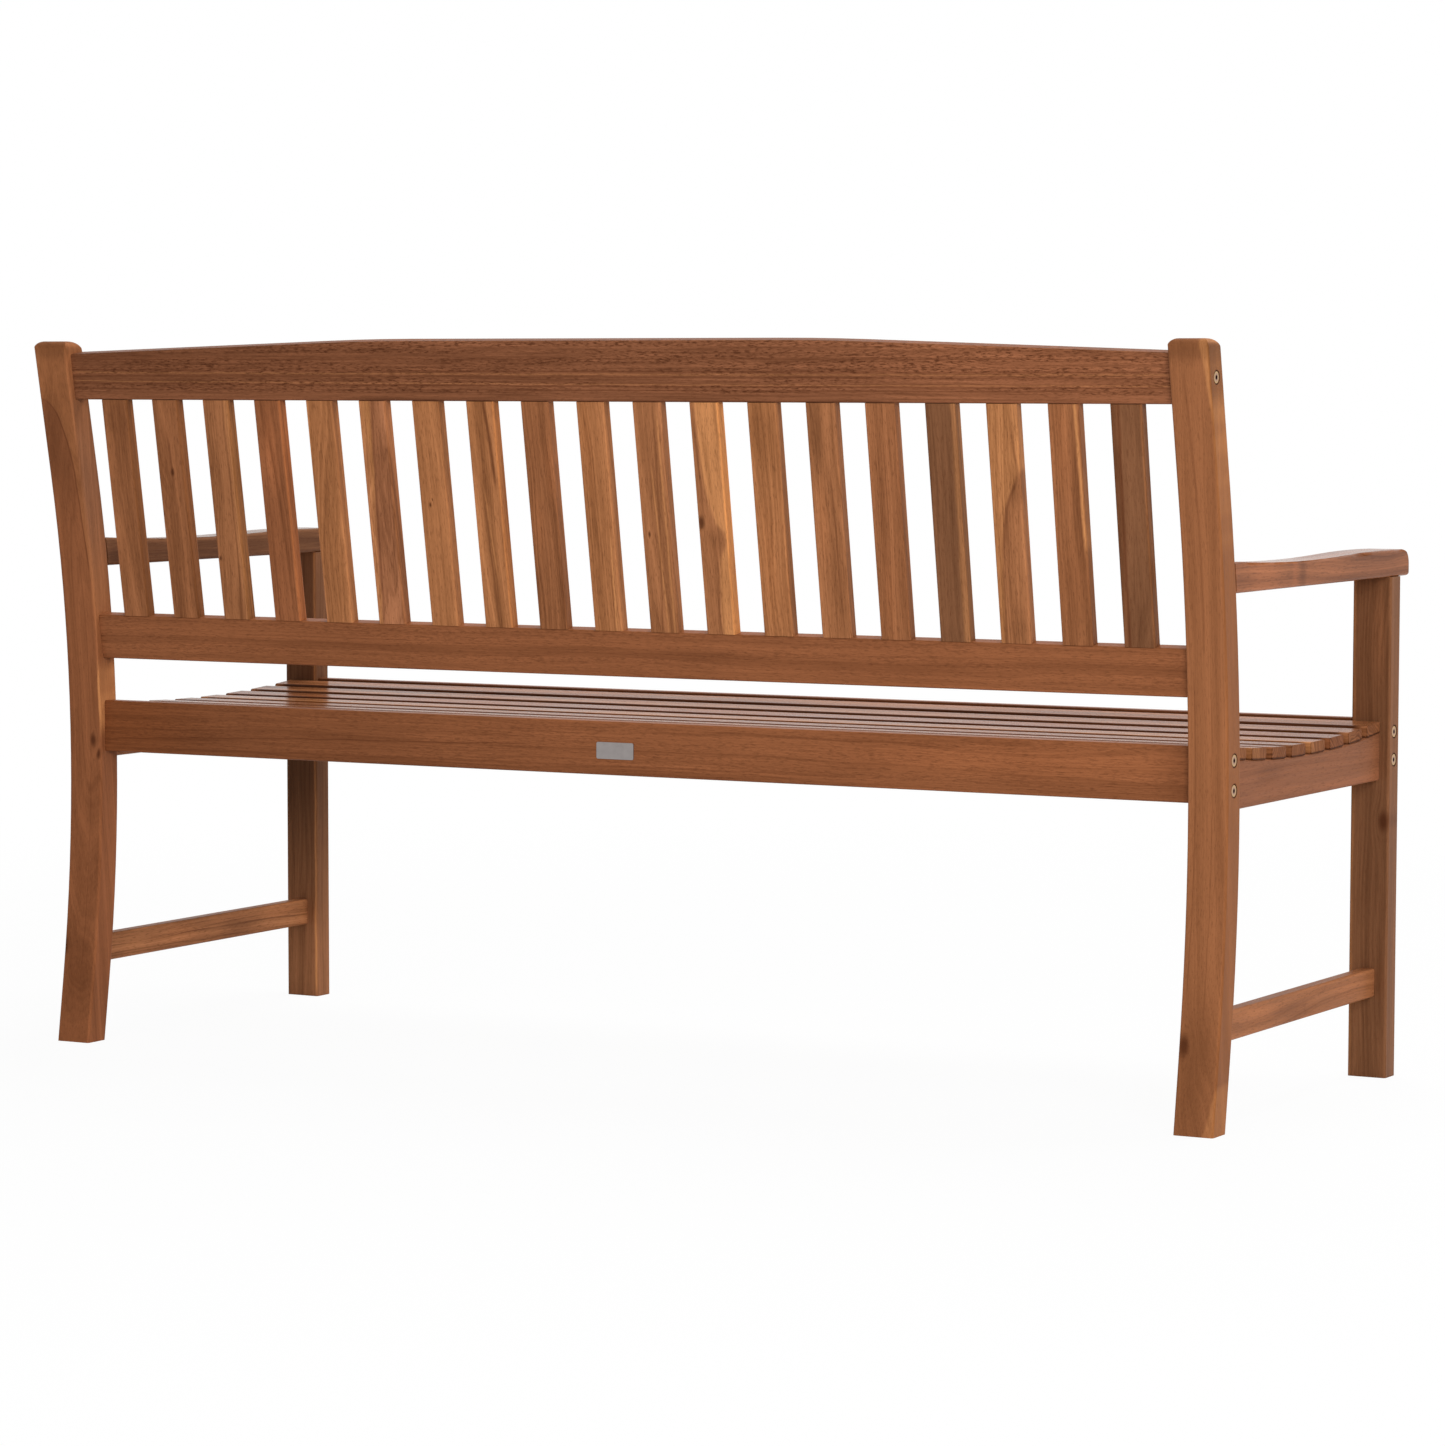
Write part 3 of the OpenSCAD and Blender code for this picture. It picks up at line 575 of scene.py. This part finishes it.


# ===== Every board's own tone and figure =====================================================
# Marks are in millimetres from a board's middle, first along it and then across it. Drawn lines
# are lists of such points. The first number of sap, heart, side, gap and face says which side.
# Side, gap and face marks paint light and shade, bore marks paint shade, and some patches and streaks paint
# shadows and highlights
FRAME_MARKS = {
    "rear_post_left": [
        ("sap", 1, 0.18, [(-420, 27), (120, 21), (180, 18), (243, 15.2), (282, 12.6), (318, 5.6), (342, -4),
                          (356, -25)]),
        ("vein", 1.5, 0.6, [(140, 19), (180, 17), (243, 14.2), (282, 11.6), (318, 4.6), (342, -5),
                            (354, -22)]),
        ("vein", 0.9, 0.3, [(-340, 4), (-100, 8), (60, 8), (160, 6)]),
        # The patch at 412 along paints shade on the rounded top
        ("patch", (285, -8), (80, 22), 0.66), ("patch", (412, 0), (14, 60), 0.72),
        ("patch", (340, 14), (40, 24), 0.84), ("patch", (-330, 0), (90, 40), 0.8),
        # The streak paints the highlight on the inner arris
        ("streak", 2.2, 0.8, [(-48, 22.5), (0, 22), (34, 22)]), ("patch", (-230, 29), (260, 9), 1.3),
        ("patch", (250, 30), (170, 10), (0.64, 0.8, 1.2)),
        ("knot", -58, 12, 4.0), ("knot", -74, 19, 3.2), ("knot", -305, -22, 5)],
    "rear_post_right": [
        ("sap", 1, 0.7, [(-420, 40), (140, 32), (185, 25), (300, 23), (345, 21.5), (385, 18), (414, 13)]),
        ("sap", 1, 0.4, [(-420, 8), (-405, 14), (-366, 23), (-350, 32), (414, 40)]),
        ("heart", 1, 0.6, [(-420, 45), (270, 45), (318, 25), (350, 23.5), (414, 22)], 1.2),
        ("vein", 2.4, 0.3, [(90, -2), (220, -1), (330, -4), (380, -6)]),
        ("vein", 1.2, 0.35, [(-270, -17), (-100, -14), (70, -14)]),
        ("vein", 1.0, 0.3, [(-300, 3), (-120, 5), (40, 5)]),
        # The patch at 410 along paints shade on the rounded top
        ("patch", (-350, -6), (110, 26), 0.74), ("patch", (410, 0), (16, 60), 0.7),
        # The patch at 385 paints shade where the side curls over the top; the side mark paints shade on the
        # whole side
        ("patch", (385, 29), (80, 8), (0.7, 0.78, 0.95)), ("knot", -324, -17, 6), ("side", 1, 0.8)],
    "front_leg_left": [
        # These patches paint the seat's shadow, dark high up and light at the foot; the streaks paint the
        # highlight along the corner
        ("patch", (-240, 0), (130, 60), 1.4), ("patch", (40, 0), (170, 60), 0.66),
        ("streak", 1.8, 0.45, [(-290, 21.2), (-200, 21), (290, 21)]),
        ("streak", 2.4, 0.5, [(-286, 20.6), (-180, 20.4)])],
    "front_leg_right": [
        ("knot", 1, 17, 6), ("patch", (210, 10), (70, 12), 1.25),
        ("sap", -1, 0.3, [(-300, -19.5), (300, -19)])],
    "armrest_right": [
        ("patch", (62, 0), (12, 30), 0.7), ("patch", (84, 0), (9, 30), 1.2),
        ("patch", (170, 0), (60, 40), 1.2), ("patch", (-180, 0), (130, 60), 0.84)],
    "lower_stretcher_left": [
        ("patch", (60, 2), (60, 14), 1.3), ("patch", (-70, -4), (60, 12), 0.72),
        ("patch", (-160, 6), (50, 10), 1.2)],
    "lower_stretcher_right": [
        ("patch", (120, 4), (60, 12), 1.2), ("patch", (10, -4), (70, 10), 0.82),
        ("patch", (-140, 2), (60, 14), 1.15)],
    "seat_side_rail_right": [
        ("patch", (110, 4), (50, 14), 0.84), ("patch", (-120, -22), (140, 7), 1.2)],
    "rear_seat_rail": [
        ("vein", 1.3, 0.5, [(110, 2), (163, 0), (450, -6), (700, -15)]),
        ("vein", 2.2, 0.3, [(-300, -19), (200, -21), (700, -25)]),
        ("patch", (520, 0), (420, 90), 0.78), ("patch", (-500, 8), (260, 26), 1.14),
        # The patch at -700 paints shade at the end beside the post
        ("patch", (0, -27), (900, 7), 0.8), ("patch", (-700, 0), (40, 80), 0.8),
        ("patch", (690, 0), (160, 80), (0.92, 0.82, 0.7))],
    # Painted shade on the rear face, next to the last seat slat
    "front_seat_rail": [("face", 1, 0.42)],
    "crest_rail": [
        ("patch", (480, 0), (460, 90), 0.86), ("patch", (-560, 0), (260, 90), 1.08),
        ("vein", 1.3, 0.5, [(-735, -2), (-200, -2), (735, 0)]),
        ("vein", 0.9, 0.45, [(-735, -9), (0, -8), (735, -7)]),
        ("vein", 1.1, 0.5, [(-735, -19), (0, -18), (735, -16)]),
        ("vein", 0.9, 0.4, [(-735, -23), (0, -22.5), (735, -22)]),
        ("vein", 1.2, 0.35, [(-735, 11), (0, 12), (735, 12)]),
        ("streak", 0.9, 0.3, [(-735, -16.5), (0, -16), (735, -13)]),
        ("streak", 1.6, 0.22, [(-735, -5), (0, -5), (735, -3)])],
}
BOLTED = {"rear_post": ("crest_bolts", "rear_rail_bolts"), "front_leg": ("front_rail_bolts",)}
POST_LEAN = 5  # degrees
# Which wood, how strong its figure is, how much fleck it has, and how it lies
FRAME_BOARDS = {
    "rear_post_left": ("russet", 0.6, 0, upright(POST_LEAN)),
    "rear_post_right": ("chestnut", 0.4, 0, upright(POST_LEAN)),
    "front_leg_left": ("umber", 1.0, 0, upright()), "front_leg_right": ("umber", 0.75, 0, upright()),
    "armrest_left": ("umber", 0.8, 0, ALONG_Y), "armrest_right": ("russet", 0.7, 0, ALONG_Y),
    "seat_side_rail_left": ("chestnut", 0.9, 0, ALONG_Y), "seat_side_rail_right": ("brown", 0.7, 0, ALONG_Y),
    "lower_stretcher_left": ("tan", 1.2, 0, ALONG_Y), "lower_stretcher_right": ("chestnut", 0.6, 0, ALONG_Y),
    "seat_bearer_left": ("chestnut", 0.9, 0, ALONG_Y), "seat_bearer_right": ("chestnut", 0.9, 0, ALONG_Y),
    "rear_seat_rail": ("russet", 0.65, 0.25, ALONG_X), "front_seat_rail": ("russet", 0.8, 0.3, ALONG_X),
    "lower_back_rail": ("russet", 0.52, 0.3, ALONG_X), "crest_rail": ("brown", 0.7, 0.8, ALONG_X),
}
BACK_WOODS = ["chestnut", "chestnut", "tan", "russet", "honey", "amber", "honey", "honey", "chestnut",
              "honey", "tan", "tan", "honey", "tan", "chestnut", "umber", "tan", "chestnut", "umber"]
# Side marks paint light (above 1) and shade (below 1) on a slat's narrow side
BACK_MARKS = {
    1: [("side", 1, 0.66), ("vein", 2, 0.3, [(70, -15), (95, -4), (100, 8), (96, 17)])],
    2: [("vein", 3, 0.5, [(30, 2), (60, 1), (95, -1)]), ("knot", 45, 2, 2.4), ("knot", -5, -17, 1.5),
        ("side", 1, 0.76)],
    3: [("sap", 1, 0.35, [(-160, 14), (0, 13), (160, 11)]), ("knot", -57, -14, 1.4), ("side", 1, 0.68)],
    4: [("patch", (70, 0), (60, 12), 1.25), ("vein", 2, 0.3, [(-140, -10), (140, -8)]), ("side", 1, 1.4)],
    5: [("sap", -1, 0.6, [(-160, -22), (20, -18), (90, -15), (160, -14)]),
        ("patch", (-60, 8), (70, 12), 0.88)],
    6: [("side", 1, 0.85), ("sap", -1, 0.95, [(-160, -12), (-60, -10), (40, -6), (160, -1)]),
        ("vein", 2.5, 0.3, [(-140, -10), (-60, -8), (40, -4), (140, 1)]),
        ("patch", (0, -16), (170, 10), (1.3, 1.3, 1.5))],
    7: [("knot", 11, -5, 1.5), ("knot", 17, -2, 1.0)],
    8: [("side", 1, 1.25), ("vein", 4, 0.8, [(30, 13), (60, 11), (110, 7), (140, 4)]),
        ("vein", 2, 0.4, [(-140, 2), (20, -5)]), ("streak", 1.6, 0.5, [(-70, 4), (30, -3)])],
    9: [("patch", (50, 13), (45, 7), 1.22), ("patch", (-10, -8), (40, 8), 1.14),
        ("patch", (90, 0), (50, 24), 0.9)],
    10: [("streak", 1.6, 0.8, [(-140, 11), (-60, 12), (-20, 13)]),
         ("vein", 1.2, 0.5, [(-140, 8.5), (-60, 9.5)]), ("patch", (80, -8), (80, 8), 1.12)],
    11: [("streak", 2, 0.55, [(-140, 6), (0, 2), (60, 0)]),
         ("streak", 2.4, 0.55, [(-140, 14), (20, 13), (120, 12)]),
         ("vein", 2, 0.4, [(-140, -3), (0, 5), (140, 8)]), ("knot", -18, -9, 1.6)],
    12: [("sap", 1, 0.85, [(-160, 8), (-105, 3), (-48, 7), (-22, 15), (-2, 4), (40, -6), (90, -10),
                           (160, -13)], 3.5),
         ("vein", 2.6, 0.35, [(-140, 4), (-110, 0), (-60, 3), (-20, 0)]),
         ("vein", 2.2, 0.4, [(0, -10), (60, -12), (120, -15)]), ("knot", -4, -14, 4.0),
         ("patch", (-22, 2), (17, 15), 0.8), ("side", 1, 1.2)],
    13: [("patch", (100, 0), (52, 24), 0.82), ("patch", (-90, 13), (60, 9), 0.84),
         ("patch", (-50, -4), (80, 10), 1.1)],
    14: [("patch", (95, -10), (60, 12), 0.68), ("patch", (0, -6), (60, 10), 1.18),
         ("vein", 2, 0.4, [(-120, 10), (60, 7)])],
    15: [("patch", (-80, -4), (60, 7), 1.1)],
    16: [("sap", 1, 0.35, [(-160, 11), (0, 12), (160, 13)])],
    17: [("sap", -1, 0.55, [(-160, -13), (-80, -10), (0, -6), (30, 2), (48, 13), (80, 24), (160, 26)], 2.6),
         ("vein", 3.5, 0.45, [(-40, -8), (0, -4), (27, 3), (44, 11), (62, 15)]),
         ("patch", (40, 12), (30, 9), 0.72), ("vein", 3, 0.45, [(54, 15), (80, 12), (110, 10)]),
         ("patch", (-115, 8), (34, 9), 0.76), ("vein", 2.4, 0.4, [(-150, -12), (-80, -10), (-40, -9)]),
         ("streak", 1.6, 0.6, [(62, 17), (110, 16)])],
    18: [("streak", 3.2, 0.85, [(-30, 16.5), (30, 15.5), (145, 13.5)]),
         ("patch", (90, -4), (80, 14), 1.12), ("patch", (-70, 0), (70, 24), 0.92)],
    19: [("vein", 3.2, 0.6, [(-150, -11), (0, -10), (150, -8)]),
         ("heart", -1, 0.3, [(-160, -11), (0, -10), (160, -8)]), ("side", 1, 1.3)],
}
SEAT_WOODS = ["tan", "tan", "chestnut", "chestnut", "tan", "russet", "tan", "chestnut"]
SEAT_MARKS = {
    2: [("sap", -1, 0.6, [(-760, 2), (760, -2)])],
    4: [("heart", 1, 0.4, [(-760, 4), (760, 2)])],
    5: [("sap", -1, 0.6, [(-760, -12), (760, -10)])],
    6: [("knot", 90, 0, 4)],
    7: [("heart", 1, 0.5, [(-760, 0), (760, -3)])],
}
SEAT_GAP_SHADES = [0.5, 0.4, 0.4, 0.4, 0.35, 0.3, 0.25, 0.25]  # how light the painted shade leaves each gap's rear face
GAP_CLEAR = 18  # millimetres at each end that the painted shade leaves clear, where light still reaches
FRAME_SEED, BACK_SEED, SEAT_SEED, DOWEL_SEED = 10, 100, 200, 300


def finish_frame():
    """Posts, legs, armrests and rails."""
    for number, (name, (kind, contrast, fleck, turn)) in enumerate(FRAME_BOARDS.items(), 1):
        bolts = BOLTED.get(name.rsplit("_", 1)[0], ())
        # Painted shade round each bolt's hole
        bores = [("bore", *place) for bolt in bolts for place in bolt_places(bolt)]
        stands = name.startswith(("rear_post", "front_leg"))
        put_on(name, wood(name, turn, WOODS[kind], FRAME_SEED + number, contrast, fleck,
                          pore=0.25 if stands else 0.4, matt=0.2 if name.startswith("armrest") else 0.4,
                          marks=FRAME_MARKS.get(name, []) + bores))


def finish_back():
    """The slats, which all lean as the middle one does."""
    low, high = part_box(BACK_SLATS[len(BACK_SLATS) // 2])
    lean = math.degrees(math.atan2(high[1] - low[1], high[2] - low[2]))
    for number, (name, kind) in enumerate(zip(BACK_SLATS, BACK_WOODS), 1):
        put_on(name, wood(name, upright(lean), WOODS[kind], BACK_SEED + number, 0.95,
                          marks=BACK_MARKS.get(number, ())))


def seat_slopes():
    """How steeply each seat slat lies, from the dish that the slats' middles follow."""
    middles = [(Vector(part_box(name)[0]) + Vector(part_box(name)[1])) / 2 for name in SEAT_SLATS]
    steps = [math.atan2(b[2] - a[2], b[1] - a[1]) for a, b in zip(middles[1:], middles)]
    first, last = 1.5 * steps[0] - 0.5 * steps[1], 1.5 * steps[-1] - 0.5 * steps[-2]
    return [first, *((a + b) / 2 for a, b in zip(steps, steps[1:])), last]


def finish_seat():
    slats = zip(SEAT_SLATS, SEAT_WOODS, SEAT_GAP_SHADES, seat_slopes())
    for number, (name, kind, gap, slope) in enumerate(slats, 1):
        turn = (math.radians(-90) - slope, 0, 0)
        put_on(name, wood(name, turn, WOODS[kind], SEAT_SEED + number, 1.1, matt=0.24, sawn=0.6, edge_highlight_and_wear=0.2,
                          contact_shadow=True, marks=SEAT_MARKS.get(number, []) + [("gap", -1, gap, GAP_CLEAR)]))


def finish_fittings():
    for name in ("back_dowels", "bearer_dowels"):
        put_on(name, wood(name, ALONG_X, SAPWOOD, DOWEL_SEED, edge_highlight_and_wear=0))
    for name in ("crest_bolts", "rear_rail_bolts", "front_rail_bolts"):
        put_on(name, bolt_heads(name))
    put_on("barrel_nuts", metal("zinc", (0.58, 0.58, 0.56, 1.0), 0.42))
    put_on("slat_screws", metal("screw_steel", (0.55, 0.55, 0.55, 1.0), 0.36))
    put_on("blank_plate", metal("brushed_plate", (0.31, 0.28, 0.27, 1.0), 0.42, BRUSHED, 0.07))


# ===== Studio ================================================================================
BENCH_MIDDLE = Vector((0, 0, 0.4))
SHADOW_START, SHADOW_STOP = 900, 3200  # millimetres out, between which the shadow fades to white
WHITE_UNDER_BENCH = 0.95  # the share of plain white in the floor close to the bench
ROOM_LIGHT = 0.28  # how strongly the white room lights the bench


def seen_directly(tree_nodes, tree_links):
    """1 for a ray from the camera, a mirror or glass, and 0 for one that gathers light."""
    path = tree_nodes.new("ShaderNodeLightPath")
    total = path.outputs["Is Camera Ray"]
    for other in ("Is Glossy Ray", "Is Transmission Ray"):
        larger = tree_nodes.new("ShaderNodeMath")
        larger.operation = "MAXIMUM"
        tree_links.new(total, larger.inputs[0])
        tree_links.new(path.outputs[other], larger.inputs[1])
        total = larger.outputs[0]
    return total


def studio_floor():
    """A wide white floor that keeps a faint shadow under the bench."""
    bpy.ops.object.select_all(action="DESELECT")
    bpy.ops.mesh.primitive_plane_add(size=60, location=(0, 0, CAD_BOX[0][2]))
    floor = bpy.context.object
    floor.name = "studio_floor"
    finish = Finish("floor_white")
    finish.shader.inputs["Base Color"].default_value = (0.8, 0.8, 0.8, 1.0)
    finish.shader.inputs["Roughness"].default_value = 0.9
    finish.shader.inputs["Specular IOR Level"].default_value = 0.1
    glow = finish.nodes.new("ShaderNodeEmission")
    blend = finish.nodes.new("ShaderNodeMixShader")
    out = finish.vector("LENGTH", finish.millimetres((0, 0, 0), ALONG_X))
    white = finish.fade(out, SHADOW_START, SHADOW_STOP, WHITE_UNDER_BENCH, 1.0)
    finish.plug(finish.times(seen_directly(finish.nodes, finish.links), white), blend.inputs[0])
    finish.links.new(finish.shader.outputs["BSDF"], blend.inputs[1])
    finish.links.new(glow.outputs["Emission"], blend.inputs[2])
    finish.links.new(blend.outputs["Shader"], finish.output.inputs["Surface"])
    floor.data.materials.append(finish.material)


def studio_world(strength):
    """An even white room: as bright as white paper to look at, softer as a lamp."""
    world = bpy.data.worlds.new("studio")
    world.use_nodes = True
    bpy.context.scene.world = world
    nodes, links = world.node_tree.nodes, world.node_tree.links
    level = nodes.new("ShaderNodeMapRange")
    level.inputs["To Min"].default_value = strength
    level.inputs["To Max"].default_value = 1.0
    links.new(seen_directly(nodes, links), level.inputs["Value"])
    nodes["Background"].inputs["Color"].default_value = (1.0, 1.0, 1.0, 1.0)
    links.new(level.outputs["Result"], nodes["Background"].inputs["Strength"])


def softbox(name, place, size, power):
    """A soft lamp that points at the bench and doesn't show as a mirror image in it."""
    lamp = bpy.data.lights.new(name, "AREA")
    lamp.shape = "RECTANGLE"
    lamp.size, lamp.size_y = size
    lamp.energy = power
    box = bpy.data.objects.new(name, lamp)
    box.location = place
    box.rotation_euler = (BENCH_MIDDLE - Vector(place)).to_track_quat("-Z", "Y").to_euler()
    box.visible_glossy = False
    bpy.context.scene.collection.objects.link(box)


finish_frame()
finish_back()
finish_seat()
finish_fittings()
studio_floor()
studio_world(ROOM_LIGHT)
softbox("rear_softbox", (0, 4.8, 1.9), (2.0, 2.0), 50)
softbox("rear_right_softbox", (-3.4, 3.6, 1.9), (2.0, 2.0), 120)
softbox("side_softbox", (-8.0, 0.2, 1.4), (3.0, 2.4), 190)
softbox("top_softbox", (-0.4, -1.2, 3.2), (3.0, 1.6), 90)
studio_camera()
bpy.context.scene.view_settings.view_transform = "Standard"
